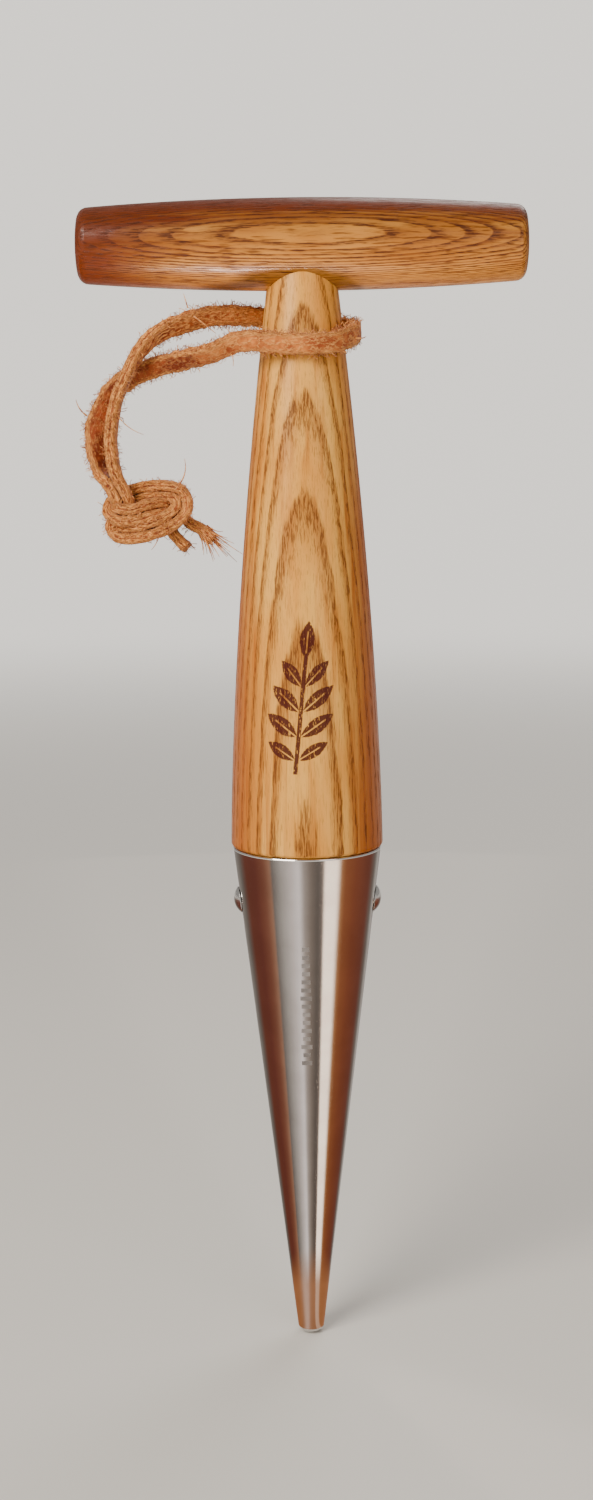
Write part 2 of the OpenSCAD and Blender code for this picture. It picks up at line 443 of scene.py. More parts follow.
def outward(piece):
    """Turns a closed piece's faces to point outwards."""
    shape = bmesh.new()
    shape.from_mesh(piece.data)
    bmesh.ops.recalc_face_normals(shape, faces=shape.faces)
    shape.to_mesh(piece.data)
    shape.free()


rings = len(lace_line)
faces = lace_faces(rings)
# Each end is closed on a middle point, so that the caps stay small triangles
for ring, middle in ((0, lace_line[0]), (rings - 1, lace_line[-1])):
    centre = len(lace_points)
    lace_points.append(middle)
    lace_frays.append(1.0)
    first = ring * SECTION_SIDES
    for k in range(SECTION_SIDES):
        faces.append((first + k, first + (k + 1) % SECTION_SIDES, centre))
lace = new_piece("thong", lace_points, faces)
layer = lace.data.uv_layers.new(name="strip")
for loop in lace.data.loops:
    ring, side = divmod(loop.vertex_index, SECTION_SIDES)
    layer.data[loop.index].uv = (ring * LACE_STEP / CENTIMETRE, side / SECTION_SIDES)
for face in lace.data.polygons:
    # A face that crosses the strip map's seam has its low corners moved past the top
    corners = [layer.data[i] for i in face.loop_indices]
    if max(c.uv.y for c in corners) - min(c.uv.y for c in corners) > 0.5:
        for corner in corners:
            if corner.uv.y < 0.5:
                corner.uv.y += 1
fray = lace.data.attributes.new("fray", "FLOAT", "POINT")
fray.data.foreach_set("value", np.array(lace_frays, np.float32))
outward(lace)
print("lace has", len(lace.data.polygons), "faces")

# %% [markdown]
# ## Geometry trees from code
# A geometry tree can be dragged together by hand, but one written as code can be read and changed. The
# first helper makes a tree with a named input for each number. The second runs it on a start object and
# keeps the result as a plain mesh, because an export drops instances and live modifiers.

# %% Geometry Nodes helpers
def new_geometry_tree(name, numbers):
    """A geometry tree with one geometry in and out, and an input for each named number."""
    group = bpy.data.node_groups.new(name, "GeometryNodeTree")
    face = group.interface
    face.new_socket("Geometry", in_out="INPUT", socket_type="NodeSocketGeometry")
    face.new_socket("Geometry", in_out="OUTPUT", socket_type="NodeSocketGeometry")
    for label, number in numbers.items():
        kind = "NodeSocketInt" if isinstance(number, int) else "NodeSocketFloat"
        face.new_socket(label, in_out="INPUT", socket_type=kind)
    tree = Tree(group)
    entry = group.nodes.new("NodeGroupInput")
    inputs = {socket.name: Value(tree, socket) for socket in entry.outputs if socket.name}
    return tree, inputs


def grown_piece(name, tree, result, start, numbers, material):
    """The mesh that a geometry tree makes from a start object, as a new piece."""
    real = tree.add("GeometryNodeRealizeInstances", None, result)
    painted = tree.add("GeometryNodeSetMaterial", None, real, Material=material)
    exit_node = tree.tree.nodes.new("NodeGroupOutput")
    tree.feed(exit_node.inputs[0], painted)
    modifier = start.modifiers.new("grow", "NODES")
    modifier.node_group = tree.tree
    for item in tree.tree.interface.items_tree:
        if item.item_type == "SOCKET" and item.in_out == "INPUT" and item.name in numbers:
            modifier[item.identifier] = numbers[item.name]
    evaluated = start.evaluated_get(bpy.context.evaluated_depsgraph_get())
    mesh = bpy.data.meshes.new_from_object(evaluated)
    start.modifiers.remove(modifier)
    mesh.name = name
    mesh.materials.clear()
    mesh.materials.append(material)
    mesh.polygons.foreach_set("material_index", [0] * len(mesh.polygons))
    piece = bpy.data.objects.new(name, mesh)
    bpy.context.scene.collection.objects.link(piece)
    print(name, "has", len(mesh.polygons), "faces")
    return piece


# %% [markdown]
# ## Leather finish
# The grain side is orange-brown and slightly waxy. The cut edges and the flesh side are paler, dry and
# fibrous. The fray attribute tells one from the other, so the colour follows the strip through every
# twist, and the fibre pattern is drawn out along the strip by its own UV map.

# %% Leather
# The deepest grain tone is used only in the painted shade left of the neck band
GRAIN_DEEP_IN_PAINTED_SHADE = colour(0.170, 0.024, 0.005)
GRAIN_DARK = colour(0.340, 0.065, 0.011)
GRAIN_LIGHT = colour(0.700, 0.220, 0.040)
FRAY_PALE = colour(0.880, 0.385, 0.100)
FRAY_DEEP = colour(0.300, 0.070, 0.012)


def make_leather():
    tree, shader, material = new_material("leather")
    place = tree.place()
    strip = tree.add("ShaderNodeUVMap", {"uv_map": "strip"})
    frayed = tree.add("ShaderNodeAttribute", {"attribute_name": "fray"}, output=2)
    along, around, _ = tree.xyz(strip)
    patches = tree.noise(place, 190, 3, 0.55)
    specks = tree.noise(place, 900, 3, 0.6)
    fibres = tree.noise(tree.vector(along * 7, around * 60, 0), 1, 3, 0.6)
    edge = (frayed + 0.10 + (fibres - 0.5) * 1.5).step(0.22, 0.60)
    # Painted shade darkens the lace left of the neck band. The band's grain has cracked into fine raised
    # lines
    outside_painted_shade = tree.xyz(place)[0].step(-0.032, -0.016)
    wander = tree.noise(tree.vector(along * 3, around * 16, 0), 1, 3, 0.6) - 0.5
    cracks = 1 - abs(wander).step(0.012, 0.05)
    dark = tree.blend(outside_painted_shade, GRAIN_DEEP_IN_PAINTED_SHADE, GRAIN_DARK)
    light = tree.blend(outside_painted_shade, GRAIN_DARK, GRAIN_LIGHT)
    grain = tree.blend(patches.step(0.40, 0.62), dark, light)
    grain = tree.blend(cracks * (0.15 + outside_painted_shade * 0.45), grain, FRAY_PALE)
    fray = tree.blend(fibres.step(0.38, 0.60), FRAY_DEEP, FRAY_PALE)
    mixed = tree.blend(edge, grain, fray)
    speckled = tree.blend(specks.step(0.5, 0.75) * 0.35, mixed, FRAY_PALE)
    tree.feed(shader.inputs["Base Color"], speckled)
    tree.feed(shader.inputs["Roughness"], 0.52 + edge * 0.35 + (specks - 0.5) * 0.2)
    relief = fibres * 0.6 + specks * 0.5 + patches * 0.3 + cracks * 0.5
    bump = tree.add("ShaderNodeBump", None, Strength=0.8, Distance=0.0004, Height=relief)
    tree.feed(shader.inputs["Normal"], bump)
    shader.inputs["Sheen Weight"].default_value = 0.08
    shader.inputs["Sheen Roughness"].default_value = 0.4
    shader.inputs["Specular IOR Level"].default_value = 0.25
    return material


leather = make_leather()
lace.data.materials.append(leather)


def make_fibre_finish():
    tree, shader, material = new_material("leather_fibre")
    place = tree.place()
    shade = tree.noise(place, 700, 2)
    tree.feed(shader.inputs["Base Color"], tree.blend(shade.step(0.35, 0.65), FRAY_DEEP, FRAY_PALE))
    tree.feed(shader.inputs["Roughness"], 0.6 + shade * 0.3)
    shader.inputs["Sheen Weight"].default_value = 0.12
    return material


fibre_finish = make_fibre_finish()
print("leather finishes made")

# %% [markdown]
# ## Fuzz on the cut edges
# Where leather is cut, its fibres stand up. Each is a thin bent hair, and there are thousands, so
# Geometry Nodes scatter them: more where the fray attribute is high, which is on the cut edges and the
# ends. A fixed seed keeps them the same every time. The fibres are one mesh of their own, so the lace
# keeps a clean surface.

# %% Fuzz on the cut edges
FUZZ = {"Fibres per square metre": 4000000.0, "Fibre length": 1.25 * MM, "Fibre radius": 0.075 * MM,
        "Seed": 7}
FULL_TURN = 2 * math.pi
SHORTEST, LONGEST, SIZE_SEED = 0.25, 1.15, 3


def grow_fuzz():
    tree, given = new_geometry_tree("fuzz", FUZZ)
    length = given["Fibre length"]
    hair = tree.add("GeometryNodeCurveQuadraticBezier", None, Resolution=2,
                    Start=(0, 0, 0), Middle=tree.vector(length * 0.15, 0, length * 0.55),
                    End=tree.vector(length * 0.75, 0, length * 0.8))
    ring = tree.add("GeometryNodeCurvePrimitiveCircle", None, Resolution=3, Radius=given["Fibre radius"])
    hair_mesh = tree.add("GeometryNodeCurveToMesh", None, hair, ring, Fill_Caps=True)
    fray_here = tree.add("GeometryNodeInputNamedAttribute", {"data_type": "FLOAT"}, "fray")
    density = given["Fibres per square metre"] * (fray_here.step(0.22, 1.0) ** 1.5)
    scatter = tree.add("GeometryNodeDistributePointsOnFaces", {"distribute_method": "RANDOM"},
                       given["Geometry"], Density=density, Seed=given["Seed"])
    upright = Value(tree, scatter.socket.node.outputs["Rotation"])
    spin = tree.random(0, FULL_TURN, given["Seed"])
    turned = tree.add("FunctionNodeRotateRotation", {"rotation_space": "LOCAL"}, upright,
                      tree.vector(0, 0, spin))
    size = tree.random(SHORTEST, LONGEST, SIZE_SEED)
    placed = tree.add("GeometryNodeInstanceOnPoints", None, scatter, Instance=hair_mesh,
                      Rotation=turned, Scale=size ** 1.6)
    return grown_piece("thong_fuzz", tree, placed, lace, FUZZ, fibre_finish)


fuzz = grow_fuzz()

# %% [markdown]
# ## Loose fibres
# A few long fibres have worked free and curl away from the lace. There are so few that each is given
# one by one: where it starts, and the way it curls. A tapering tube is built round each.

# %% Loose fibres and the frayed tail
FIBRE_SIDES = 5
FIBRE_TAPER = 0.75
THICK_FIBRE, THIN_FIBRE = 0.26 * MM, 0.20 * MM
TAIL_FIBRES = 34
# The brush's fibres start this many steps back from the tip. The rest is in millimetres
BRUSH_START = 8
BRUSH_SPREAD, BRUSH_BEND, BRUSH_FLARE = 3.2, 1.2, 3.6
BRUSH_REACH, SHORTEST_END, EXTRA_END = 3.3, 1.4, 2
# Start, middle and end of each fibre, in millimetres from the middle of the crossbar's axis
LOOSE_FIBRES = [
    ((-27, -3, -18), (-24, -4, -20.5), (-21.5, -4, -22.5)),
    ((-28.5, -3, -16), (-29, -4, -14), (-29.5, -4, -12.5)),
    ((-22, -7, -25.5), (-16.5, -8, -26.5), (-17.2, -8, -31)),
    ((-46.5, -4, -42), (-44, -5, -46), (-39.5, -5, -47.5)),
    ((-32, -4, -61), (-28.5, -5, -58), (-29.5, -5, -53.5)),
    ((-41, -4, -30.5), (-42.5, -5, -28), (-42.2, -5, -26)),
    ((-54, -2, -42.5), (-56, -3, -41), (-56.5, -3, -38.5)),
    ((13.5, -4, -22.5), (14.4, -5, -20.5), (13.8, -5, -18.5)),
    ((12.5, -6, -24), (14.8, -7, -24.6), (15.6, -7, -23.8)),
    ((-36, -3, -72), (-36.5, -4, -74.5), (-38, -4, -76))]


def bent_line(start, middle, end, steps):
    """A curve from start to end that is drawn towards the middle point."""
    start, middle, end = (Vector(p) for p in (start, middle, end))
    return [start.lerp(middle, t).lerp(middle.lerp(end, t), t) for t in np.linspace(0, 1, steps)]


def add_tube(points, faces, line, radius):
    """Adds a closed tube that tapers to a point."""
    base = len(points)
    for i, spot in enumerate(line):
        ahead = (line[min(i + 1, len(line) - 1)] - line[max(i - 1, 0)]).normalized()
        side = ahead.orthogonal().normalized()
        other = ahead.cross(side)
        here = radius * (1 - FIBRE_TAPER * i / (len(line) - 1))
        for k in range(FIBRE_SIDES):
            turn = 2 * math.pi * k / FIBRE_SIDES
            points.append(spot + here * (math.cos(turn) * side + math.sin(turn) * other))
    for i in range(len(line) - 1):
        for k in range(FIBRE_SIDES):
            a, b = base + i * FIBRE_SIDES + k, base + i * FIBRE_SIDES + (k + 1) % FIBRE_SIDES
            faces.append((a, b, b + FIBRE_SIDES, a + FIBRE_SIDES))
    faces.append(tuple(base + k for k in reversed(range(FIBRE_SIDES))))
    last = base + (len(line) - 1) * FIBRE_SIDES
    faces.append(tuple(last + k for k in range(FIBRE_SIDES)))


def make_loose_fibres():
    points, faces = [], []
    axis = Vector((0, 0, BAR_Z))
    for number, (start, middle, end) in enumerate(LOOSE_FIBRES):
        line = [axis + MM * p for p in bent_line(start, middle, end, 12)]
        add_tube(points, faces, line, THIN_FIBRE if number % 2 else THICK_FIBRE)
    # The fibrous tail opens into a brush
    tip, back = Vector(lace_line[0]), Vector(lace_line[BRUSH_START])
    ahead = (tip - back).normalized()
    for number in range(TAIL_FIBRES):
        seed = Vector((number * 1.7, 4.2, 0.3))
        swerve = Vector((noise.noise(seed), noise.noise(seed + Vector((9, 0, 0))),
                         noise.noise(seed + Vector((0, 9, 0)))))
        start = back + swerve * BRUSH_SPREAD * MM
        middle = start + ahead * BRUSH_REACH * MM + swerve * BRUSH_BEND * MM
        further = SHORTEST_END + EXTRA_END * abs(swerve.x)
        end = middle + ahead * further * MM + swerve * BRUSH_FLARE * MM
        add_tube(points, faces, bent_line(start, middle, end, 7), THIN_FIBRE)
    piece = new_piece("thong_loose_fibres", points, faces, fibre_finish)
    outward(piece)
    return piece


loose_fibres = make_loose_fibres()
print("loose fibres have", len(loose_fibres.data.polygons), "faces")

# %% [markdown]
# ## What the lace rides on
# The lace turns round the neck as one body, and its fuzz and loose fibres go with it. It stands for two
# plain solids of the CAD model: the lace's run and the outer shape of its knot.

# %% The lace rides with its fuzz on the thong body
for piece in (lace, fuzz, loose_fibres):
    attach(piece, "thong")
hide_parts("thong_lace", "thong_knot")
print("lace, fuzz and loose fibres ride on the thong body")

# %% [markdown]
# ## Ash
# Ash shows two things: growth rings, and rows of open pores in the soft early part of each ring. Both
# lie in the solid, so the finish is a solid texture: the rings are flat layers stacked from front to
# back of the plank, and the turned shape cuts through them. On the taper that cutting draws pointed
# arches, and on the barrel nested ovals, with no arch or oval drawn by hand. The pores are noise drawn
# out along the grain. A coat of varnish goes on top. Places are in millimetres here, so the number
# that a place is multiplied by is how many times the noise changes in a millimetre.

# %% Ash
def ash(name, along, ring, tones, heart_and_shade, mark=None):
    """Turned ash: the axis that the grain runs along, its rings in mm, and its colours."""
    tree, shader, material = new_material(name)
    x, y, z = (axis * MM_PER_M for axis in tree.xyz(tree.place()))
    grain, across = (z, x) if along == "Z" else (x, z)
    sway = tree.noise(tree.vector(grain * 0.018, across * 0.07, y * 0.07), 1, 2) - 0.5
    ripple = tree.noise(tree.vector(grain * 0.09, across * 0.5, y * 0.5), 1, 3) - 0.5
    depth = y + ring["shift"] + sway * ring["sway"] + ripple * ring["ripple"]
    depth = depth + (z - BAR_Z / MM) * ring["tilt"]
    layer = depth / ring["spacing"]
    phase = layer.fraction()
    number = layer - phase
    year = tree.add("ShaderNodeTexWhiteNoise", {"noise_dimensions": "1D"}, W=number)
    since = 1 - phase if ring["inward"] else phase
    early = since.step(0, ring["onset"]) * (1 - since.step(0.14, 0.75))
    strength = early * (0.45 + year * 0.55)
    # Open pores: short dark dashes, crowded in the early wood
    dashes = tree.noise(tree.vector(grain * 0.24, across * 3.3, y * 3.3), 1, 2, 0.6)
    lines = ring["lines"]
    fine = tree.noise(tree.vector(grain * 0.13, across * lines, y * lines), 1, 2, 0.6)
    pores = (dashes + early * 0.12).step(0.57, 0.68) * (0.35 + 0.65 * early)
    hairs = fine.step(0.52, 0.68) * (ring["hairs"] + early * 0.4)
    streaks = tree.noise(tree.vector(grain * 0.012, across * 0.55, y * 0.55), 1, 3, 0.6)
    cloud = tree.noise(tree.vector(grain * 0.03, across * 0.12, y * 0.12), 1, 2)
    base = tree.blend(cloud.step(0.35, 0.65), tones["light"], tones["honey"])
    base = tree.blend(streaks.step(0.5, 0.72) * 0.55, base, tones["amber"])
    base = tree.blend(strength * ring["contrast"], base, tones["ring"])
    # Heartwood and painted shade, where the given function puts them
    base = tree.blend(heart_and_shade(tree, x, y, z, streaks), base, tones["heart_and_shade"])
    base = tree.blend(hairs * 0.85, base, tones["hair"])
    base = tree.blend(pores * 0.8, base, tones["pore"])
    roughness = 0.34 + pores * 0.35 + (streaks - 0.5) * 0.12
    relief = -1 * pores - hairs * 0.4 - strength * 0.3
    if mark:
        burned = mark(tree, x, y, z)
        base = tree.blend(burned, base, tones["burn"])
        roughness = roughness + burned * 0.2
        relief = relief - burned * 2.5
    tree.feed(shader.inputs["Base Color"], base)
    tree.feed(shader.inputs["Roughness"], roughness)
    bump = tree.add("ShaderNodeBump", None, Strength=0.5, Distance=0.00008, Height=relief)
    tree.feed(shader.inputs["Normal"], bump)
    shader.inputs["Specular IOR Level"].default_value = 0.16
    # The varnish shines between the pores and not in them, so a highlight breaks up along the grain
    tree.feed(shader.inputs["Coat Weight"], 0.06 + (1 - fine.step(0.40, 0.54)) * ring["shine"])
    shader.inputs["Coat Roughness"].default_value = 0.22
    return material


print("ash can be made along X or Z")

# %% [markdown]
# ## Two pieces of ash
# The shaft is pale sapwood, with painted shade and brown reflection that make its flanks warmer. The
# crossbar is darker, with heartwood and painted shade along its top and at its left end. So each has its
# own tones, its own rings, and a function that says where its heartwood and painted shade lie.

# %% Wood tones, heartwood and painted shade
SHAFT_TONES = {"light": colour(0.860, 0.430, 0.085), "honey": colour(0.740, 0.310, 0.045),
               "amber": colour(0.480, 0.150, 0.014), "ring": colour(0.270, 0.078, 0.008),
               "heart_and_shade": colour(0.390, 0.082, 0.003), "pore": colour(0.120, 0.030, 0.005),
               "hair": colour(0.270, 0.078, 0.008),
               "burn": colour(0.070, 0.008, 0.004)}
BAR_TONES = {"light": colour(0.510, 0.215, 0.036), "honey": colour(0.360, 0.128, 0.017),
             "amber": colour(0.230, 0.060, 0.008), "ring": colour(0.120, 0.026, 0.004),
             "heart_and_shade": colour(0.120, 0.018, 0.002), "pore": colour(0.050, 0.010, 0.002),
             "hair": colour(0.085, 0.018, 0.003)}


def shaft_flank_shade(tree, x, y, z, streaks):
    """Painted shade and brown reflection: warmer, deeper wood towards the left and right of the shaft.
    """
    return (abs(x + 1) + (streaks - 0.5) * 8).step(7, 17) * 0.9


def bar_heart_and_shade(tree, x, y, z, streaks):
    """Dark heartwood and painted shade along the top of the bar and at its left end."""
    top = (z - BAR_Z / MM + (streaks - 0.5) * 8).step(1, 8)
    left = (-1 * x + (streaks - 0.5) * 14).step(24, 52)
    return (top + left).at_most(1) * 0.97


print("tones for", len(SHAFT_TONES), "and", len(BAR_TONES), "kinds of wood")

# %% [markdown]
# ## Mark burned into the shaft
# Makers burn a mark into the wood with a hot stamp. This one is a plain sprig: a stem, pairs of pointed
# leaves, and one at the tip. Each leaf is the area between two parabolas, so one comparison draws it,
# and the distance from the stem is folded, so that one leaf's sum makes a pair.

# %% Sprig mark
SPRIG_LOW, STEM_TOP, SPRIG_HIGH = 141.0, 170.0, 177.0
SPRIG_LEAN = 0.10
LEAF_LENGTH, LEAF_WIDTH = 9.6, 3.9
# From the foot up, each pair of leaves and then the top one: how far out its foot is, how high it is,
# its angle from upright, and its size
LEAVES = [(0.3, 144.5, 58, 0.86), (0.3, 150.0, 54, 1.0), (0.3, 156.0, 48, 1.0),
          (0.3, 162.0, 40, 0.88), (0, 168.6, 0, 0.98)]


def sprig(tree, x, y, z):
    """How strongly the wood is burned at a place, from 0 to 1."""
    middle = (SPRIG_LOW + SPRIG_HIGH) / 2
    side = x + 1.0 - (z - middle) * SPRIG_LEAN
    fold = abs(side)
    front = (-1 * y).step(2, 4)
    rag = (tree.noise(tree.vector(x, y, z), 1.6, 3, 0.7) - 0.5) * 0.35

    def leaf(out, up, angle, size):
        """One leaf, from its foot at (out, up), at an angle from upright."""
        c, s = math.cos(math.radians(angle)), math.sin(math.radians(angle))
        u = ((fold - out) * s + (z - up) * c) * (2 / (LEAF_LENGTH * size)) - 1
        v = ((fold - out) * c - (z - up) * s) * (2 / (LEAF_WIDTH * size))
        inside = 1 - u * u - abs(v) + rag
        vein = abs(v).step(0.05, 0.13).at_least(u.step(0.35, 0.5))
        return inside.step(0.0, 0.14) * vein

    stem = 1 - (fold + rag).step(0.42, 0.6)
    mark = stem * z.step(SPRIG_LOW, SPRIG_LOW + 0.4) * (1 - z.step(STEM_TOP, STEM_TOP + 0.4))
    for out, up, angle, size in LEAVES:
        mark = mark.at_least(leaf(out, up, angle, size))
    worn = tree.noise(tree.vector(x * 3, y * 3, z * 0.8), 1, 2, 0.6).step(0.30, 0.44)
    return mark * front * worn * 0.96


print("sprig from", SPRIG_LOW, "to", SPRIG_HIGH, "mm up")

# %% [markdown]
# ## Wood finishes
# Rings, in millimetres: how far apart they are, where the first one lies, how far the plank's own bends
# sway them, how much finer ripples do, and how they lean. A ring is dark on its inward or its outward
# side. Hairs are the fine dark lines between the pores, and shine is the varnish between those.

# %% Wood finishes
shaft_ring = {"spacing": 2.35, "shift": -0.15, "sway": 1.1, "ripple": 0.8, "tilt": 0,
              "contrast": 0.72, "onset": 0.16, "inward": True, "hairs": 0.25,
              "lines": 3.8, "shine": 0.04}
bar_ring = {"spacing": 0.47, "shift": 0.20, "sway": 0.4, "ripple": 0.14, "tilt": -0.09,
            "contrast": 1.0, "onset": 0.10, "inward": False, "hairs": 0.85,
            "lines": 1.7, "shine": 0.30}
shaft_wood = ash("shaft_ash", "Z", shaft_ring, SHAFT_TONES, shaft_flank_shade, sprig)
bar_wood = ash("crossbar_ash", "X", bar_ring, BAR_TONES, bar_heart_and_shade)
print("wood finishes made")

# %% [markdown]
# ## Steel
# The point is spun from stainless sheet and polished. A mirror would look too clean, so it has fine
# marks left round it by the polishing, a faint cloudiness, and scratches along it from the soil.

# %% Steel
DULL_STEEL = colour(0.66, 0.64, 0.62)


def steel(name, tone, rough, scratch):
    """Polished steel: its tone, how rough the polish is, and how much rougher its scratches are."""
    tree, shader, material = new_material(name)
    x, y, z = (axis * MM_PER_M for axis in tree.xyz(tree.place()))
    turned = tree.noise(tree.vector(x * 0.05, y * 0.05, z * 14), 1, 3, 0.6)
    drawn = tree.noise(tree.vector(x * 9, y * 9, z * 0.12), 1, 2, 0.6)
    cloud = tree.noise(tree.vector(x, y, z), 0.12, 3)
    scuffs = drawn.step(0.66, 0.72) * cloud.step(0.45, 0.62)
    clouded = tree.blend(cloud.step(0.3, 0.7), tone, DULL_STEEL)
    tree.feed(shader.inputs["Base Color"], clouded)
    tree.feed(shader.inputs["Roughness"], rough + turned * 0.04 + cloud * 0.04 + scuffs * scratch)
    bump = tree.add("ShaderNodeBump", None, Strength=0.12, Distance=0.00003,
                    Height=turned + drawn * 0.7 - scuffs)
    tree.feed(shader.inputs["Normal"], bump)
    shader.inputs["Metallic"].default_value = 1
    return material


point_steel = steel("polished_steel", colour(0.74, 0.73, 0.71), 0.035, 0.12)
pin_steel = steel("pin_steel", colour(0.70, 0.69, 0.67), 0.20, 0.10)
stamp_steel = steel("stamped_steel", colour(0.30, 0.29, 0.28), 0.42, 0.05)
FINISHES = {"crossbar": bar_wood, "shaft": shaft_wood, "steel_point": point_steel,
            "pin_left": pin_steel, "pin_right": pin_steel}
for name, material in FINISHES.items():
    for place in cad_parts[name].material_slots:
        place.material = material
print("finished", ", ".join(FINISHES))

# %% [markdown]
# ## Stamped row
# Steel tools carry a stamped grade down the front of the cone. Here it is a row of plain strokes with
# no meaning. One bar is made and Geometry Nodes repeat it on a line of points that follows the cone.

# %% Stamped strokes
STAMP = {"Strokes": 15, "Stroke width": 2.9 * MM, "Stroke height": 1.0 * MM, "Stroke depth": 0.3 * MM,
         "Seed": 4}
STAMP_LOW, STAMP_HIGH = 0.070, 0.0985
STAMP_TURN = math.radians(-2.5)
STROKE_RISE, STROKE_SINK = 0.05 * MM, 0.12 * MM
NARROWEST, WIDEST = 0.55, 1.0
TIP_R = 3.05 * MM
CONE_SLOPE = math.atan((RIM_R - TIP_R) / RIM_Z)
OUTSIDE_CONE = 0.05


def cone_point(height, turn, proud):
    """A point of the steel point's skin, turned about Z from the front, and how far it stands proud."""
    away = Vector((math.sin(turn), -math.cos(turn), 0))
    start = away * OUTSIDE_CONE + Vector((0, 0, height))
    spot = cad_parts["steel_point"].ray_cast(start, -away)[1]
    return spot + away * proud


def make_stamp():
    """The row of strokes, as one piece."""
    tree, given = new_geometry_tree("stamp", STAMP)
    low = cone_point(STAMP_LOW, STAMP_TURN, 0)
    high = cone_point(STAMP_HIGH, STAMP_TURN, 0)
    line = tree.add("GeometryNodeMeshLine", {"mode": "END_POINTS"}, given["Strokes"],
                    Start_Location=tuple(low), Offset=tuple(high))
    size = tree.vector(given["Stroke width"], given["Stroke depth"], given["Stroke height"])
    bar = tree.add("GeometryNodeMeshCube", None, size, 5, 2, 2)
    varied = tree.random(NARROWEST, WIDEST, given["Seed"])
    placed = tree.add("GeometryNodeInstanceOnPoints", None, line, Instance=bar,
                      Rotation=(CONE_SLOPE, 0, STAMP_TURN), Scale=tree.vector(varied, 1, 1))
    start = new_piece("stamp_start", [(0, 0, 0)], [])
    piece = grown_piece("stamped_strokes", tree, placed, start, STAMP, stamp_steel)
    bpy.data.objects.remove(start)
    # Each bar's back and front are bent to the cone
    for vertex in piece.data.vertices:
        place = vertex.co.copy()
        turn = math.atan2(place.x, -place.y)
        skin = cone_point(place.z, turn, 0)
        outer = place.xy.length > skin.xy.length
        vertex.co = cone_point(place.z, turn, STROKE_RISE if outer else -STROKE_SINK)
    print("strokes stand at radius", round(skin.xy.length, 5), "to", round(place.xy.length, 5))
    return piece


stamp = make_stamp()
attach(stamp, "root")

# %% [markdown]
# ## Studio
# The floor is plain and pale, and a round backdrop curves up from it far away, so that no horizon shows
# from any side. Only the camera sees the backdrop, so it keeps no light out.

# %% Floor and backdrop
def studio_finish():
    """Pale paper that is lit more strongly the further it is from the middle."""
    tree, shader, material = new_material("pale_studio")
    x, y, z = tree.xyz(tree.place())
    far = (x * x + y * y).root().step(0.35, 2.4)
    shader.inputs["Base Color"].default_value = colour(0.72, 0.70, 0.66)
    shader.inputs["Roughness"].default_value = 0.85
    lit = tree.blend(far, colour(0, 0, 0), colour(0.95, 0.91, 0.85))
    tree.feed(shader.inputs["Emission Color"], lit)
    shader.inputs["Emission Strength"].default_value = 1.0
    return material


FLOOR_Z = -0.0005
FLOOR_RADIUS = 2.2
BEND_RADIUS = 1.6
ROUND_STEPS = 96


def make_round(name, profile, material):
    """A surface of rings, each given by its radius and its height."""
    turns = np.linspace(0, 2 * math.pi, ROUND_STEPS, endpoint=False)
    points = [(r * math.cos(t), r * math.sin(t), z) for r, z in profile for t in turns]
    n = ROUND_STEPS
    faces = [(i * n + k, i * n + (k + 1) % n, (i + 1) * n + (k + 1) % n, (i + 1) * n + k)
             for i in range(len(profile) - 1) for k in range(n)]
    return new_piece(name, points, faces, material)


pale = studio_finish()
floor_rings = [(radius, FLOOR_Z) for radius in (0.0001, 0.5, 1.2, FLOOR_RADIUS)]
floor = make_round("floor", floor_rings, pale)
bend = [(FLOOR_RADIUS + BEND_RADIUS * math.sin(turn), FLOOR_Z + BEND_RADIUS * (1 - math.cos(turn)))
        for turn in np.linspace(0, math.pi / 2, 24)]
backdrop = make_round("backdrop", bend, pale)
backdrop.visible_diffuse = False
backdrop.visible_glossy = False
backdrop.visible_shadow = False
print("floor", FLOOR_RADIUS, "m in radius")

# %% [markdown]
# ## Reflector cards
# Polished steel only shows what stands round it, so a ring of cards lies round the point, where the
# steel looks down at them. Separate cards would be many pieces, so they are one ring whose tone
# changes on the way round: slowly for a soft border, and within a few degrees for a sharp one. The
# camera doesn't see the ring, only its reflection.

# %% Reflector cards
# The ring of cards round the point: degrees from the front, and the red, green and blue that it gives
# back there. Two pale cards stand in a warm brown room.
CARD_TONES = [
    (-180, (1.1, 1.0, 0.94)), (-168, (1.1, 1.0, 0.94)), (-163, (0.30, 0.27, 0.24)),
    (-135, (0.13, 0.10, 0.08)), (-118, (0.14, 0.020, 0.002)), (-95, (0.14, 0.015, 0.001)),
    (-75, (0.20, 0.040, 0.007)), (-62, (0.30, 0.10, 0.03)), (-60, (0.06, 0.034, 0.024)),
    (-48, (0.09, 0.062, 0.050)), (-38, (0.20, 0.155, 0.135)), (-28, (0.50, 0.41, 0.38)),
    (-15, (1.0, 0.87, 0.83)), (-7, (0.42, 0.34, 0.29)), (4, (0.22, 0.165, 0.13)),
    (16, (0.080, 0.053, 0.038)), (25, (0.15, 0.10, 0.075)), (28, (2.4, 1.9, 1.5)),
    (47, (2.4, 1.9, 1.5)), (55, (0.5, 0.2, 0.06)), (63, (0.30, 0.075, 0.012)),
    (85, (0.22, 0.040, 0.005)), (118, (0.15, 0.022, 0.003)), (135, (0.13, 0.10, 0.08)),
    (150, (0.45, 0.40, 0.36)), (163, (0.20, 0.17, 0.15)), (168, (1.1, 1.0, 0.94)),
    (180, (1.1, 1.0, 0.94))]
# Close to the tip the cards fade into this one tone
CARD_FOOT = np.array((0.40, 0.14, 0.04))
FOOT_SHARE = 0.15
CARD_RADII = (0.002, 0.020, 0.034, 0.60)
CARD_Z = 0.001
CARD_STEPS = 180


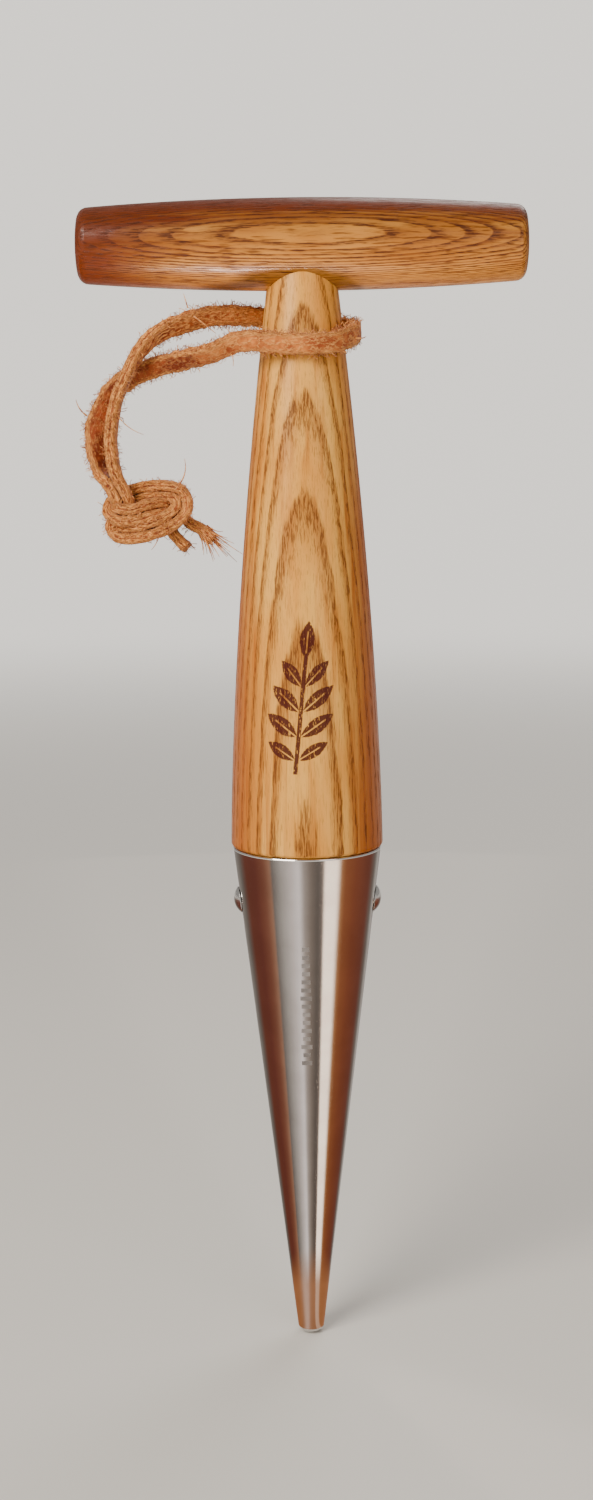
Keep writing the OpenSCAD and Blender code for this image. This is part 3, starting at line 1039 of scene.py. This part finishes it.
def make_cards():
    """One flat ring round the point, lit by itself, that only the steel's reflections see."""
    places = [place for place, _ in CARD_TONES]
    degrees = np.linspace(-180, 180, CARD_STEPS + 1)[:-1]
    round_tones = np.stack([np.interp(degrees, places, [tone[k] for _, tone in CARD_TONES])
                            for k in range(3)], axis=1)
    points, tones = [], []
    for number, radius in enumerate(CARD_RADII):
        for turn, tone in zip(np.radians(degrees), round_tones):
            points.append((radius * math.sin(turn), -radius * math.cos(turn), CARD_Z))
            near_foot = number < 2
            tones.append((*(FOOT_SHARE * tone + CARD_FOOT if near_foot else tone), 1))
    n = CARD_STEPS
    faces = [(r * n + k, r * n + (k + 1) % n, (r + 1) * n + (k + 1) % n, (r + 1) * n + k)
             for r in range(len(CARD_RADII) - 1) for k in range(n)]
    tree, shader, finish = new_material("reflector_card")
    glow = tree.add("ShaderNodeAttribute", {"attribute_name": "tone"})
    shader.inputs["Base Color"].default_value = colour(0, 0, 0)
    tree.feed(shader.inputs["Emission Color"], glow)
    shader.inputs["Emission Strength"].default_value = 1
    card = new_piece("reflector_card", points, faces, finish, smooth=False)
    layer = card.data.attributes.new("tone", "FLOAT_COLOR", "POINT")
    layer.data.foreach_set("color", np.array(tones, np.float32).ravel())
    card.visible_camera = False
    card.visible_diffuse = False
    card.visible_shadow = False
    card.visible_transmission = False
    return card


card = make_cards()
print("stage has", len(card.data.polygons), "card faces")

# %% [markdown]
# ## Soft lights
# Large panels give soft shadows. The key stands high on the left, a weak fill on the right, and a third
# behind, so that the back isn't black. A small panel puts a sheen on the crossbar's underside.

# %% Soft lights
# Each panel's place, what it is aimed at, its size in metres, its power in watts and its tone
LIGHTS = {
    "key": ((-0.70, -0.85, 0.80), (0, 0, 0.16), 0.75, 19.0, (1.0, 0.93, 0.84)),
    "fill": ((0.60, -0.95, 0.45), (0, 0, 0.16), 0.80, 2.5, (1.0, 0.94, 0.88)),
    "back": ((0.3, 0.6, 0.9), (0, 0, 0.18), 0.60, 3.5, (1.0, 0.96, 0.92))}

for name, (place, aim, size, power, tone) in LIGHTS.items():
    data = bpy.data.lights.new(name, "AREA")
    data.shape = "DISK"
    data.size, data.energy, data.color = size, power, tone
    lamp = bpy.data.objects.new(name, data)
    lamp.location = place
    lamp.rotation_euler = (Vector(aim) - Vector(place)).to_track_quat("-Z", "Y").to_euler()
    bpy.context.scene.collection.objects.link(lamp)

# A low panel in front puts the sheen along the underside of the crossbar, and lights nothing else
SHEEN_LENGTH, SHEEN_DEPTH, SHEEN_POWER = 0.06, 0.012, 0.42
data = bpy.data.lights.new("bar_sheen", "AREA")
data.shape = "RECTANGLE"
data.size, data.size_y = SHEEN_LENGTH, SHEEN_DEPTH
data.energy, data.color = SHEEN_POWER, (1.0, 0.84, 0.76)
sheen = bpy.data.objects.new("bar_sheen", data)
sheen.location = (-0.022, -0.062, 0.100)
sheen.rotation_euler = (math.radians(180), 0, 0)
bpy.context.scene.collection.objects.link(sheen)
lit = bpy.data.collections.new("lit_by_bar_sheen")
lit.objects.link(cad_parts["crossbar"])
sheen.light_linking.receiver_collection = lit

world = bpy.data.worlds.new("soft_room")
world.use_nodes = True
room = world.node_tree.nodes["Background"]
room.inputs["Color"].default_value = colour(1.0, 0.96, 0.91)
room.inputs["Strength"].default_value = 0.36
bpy.context.scene.world = world
print("lights:", ", ".join(LIGHTS))
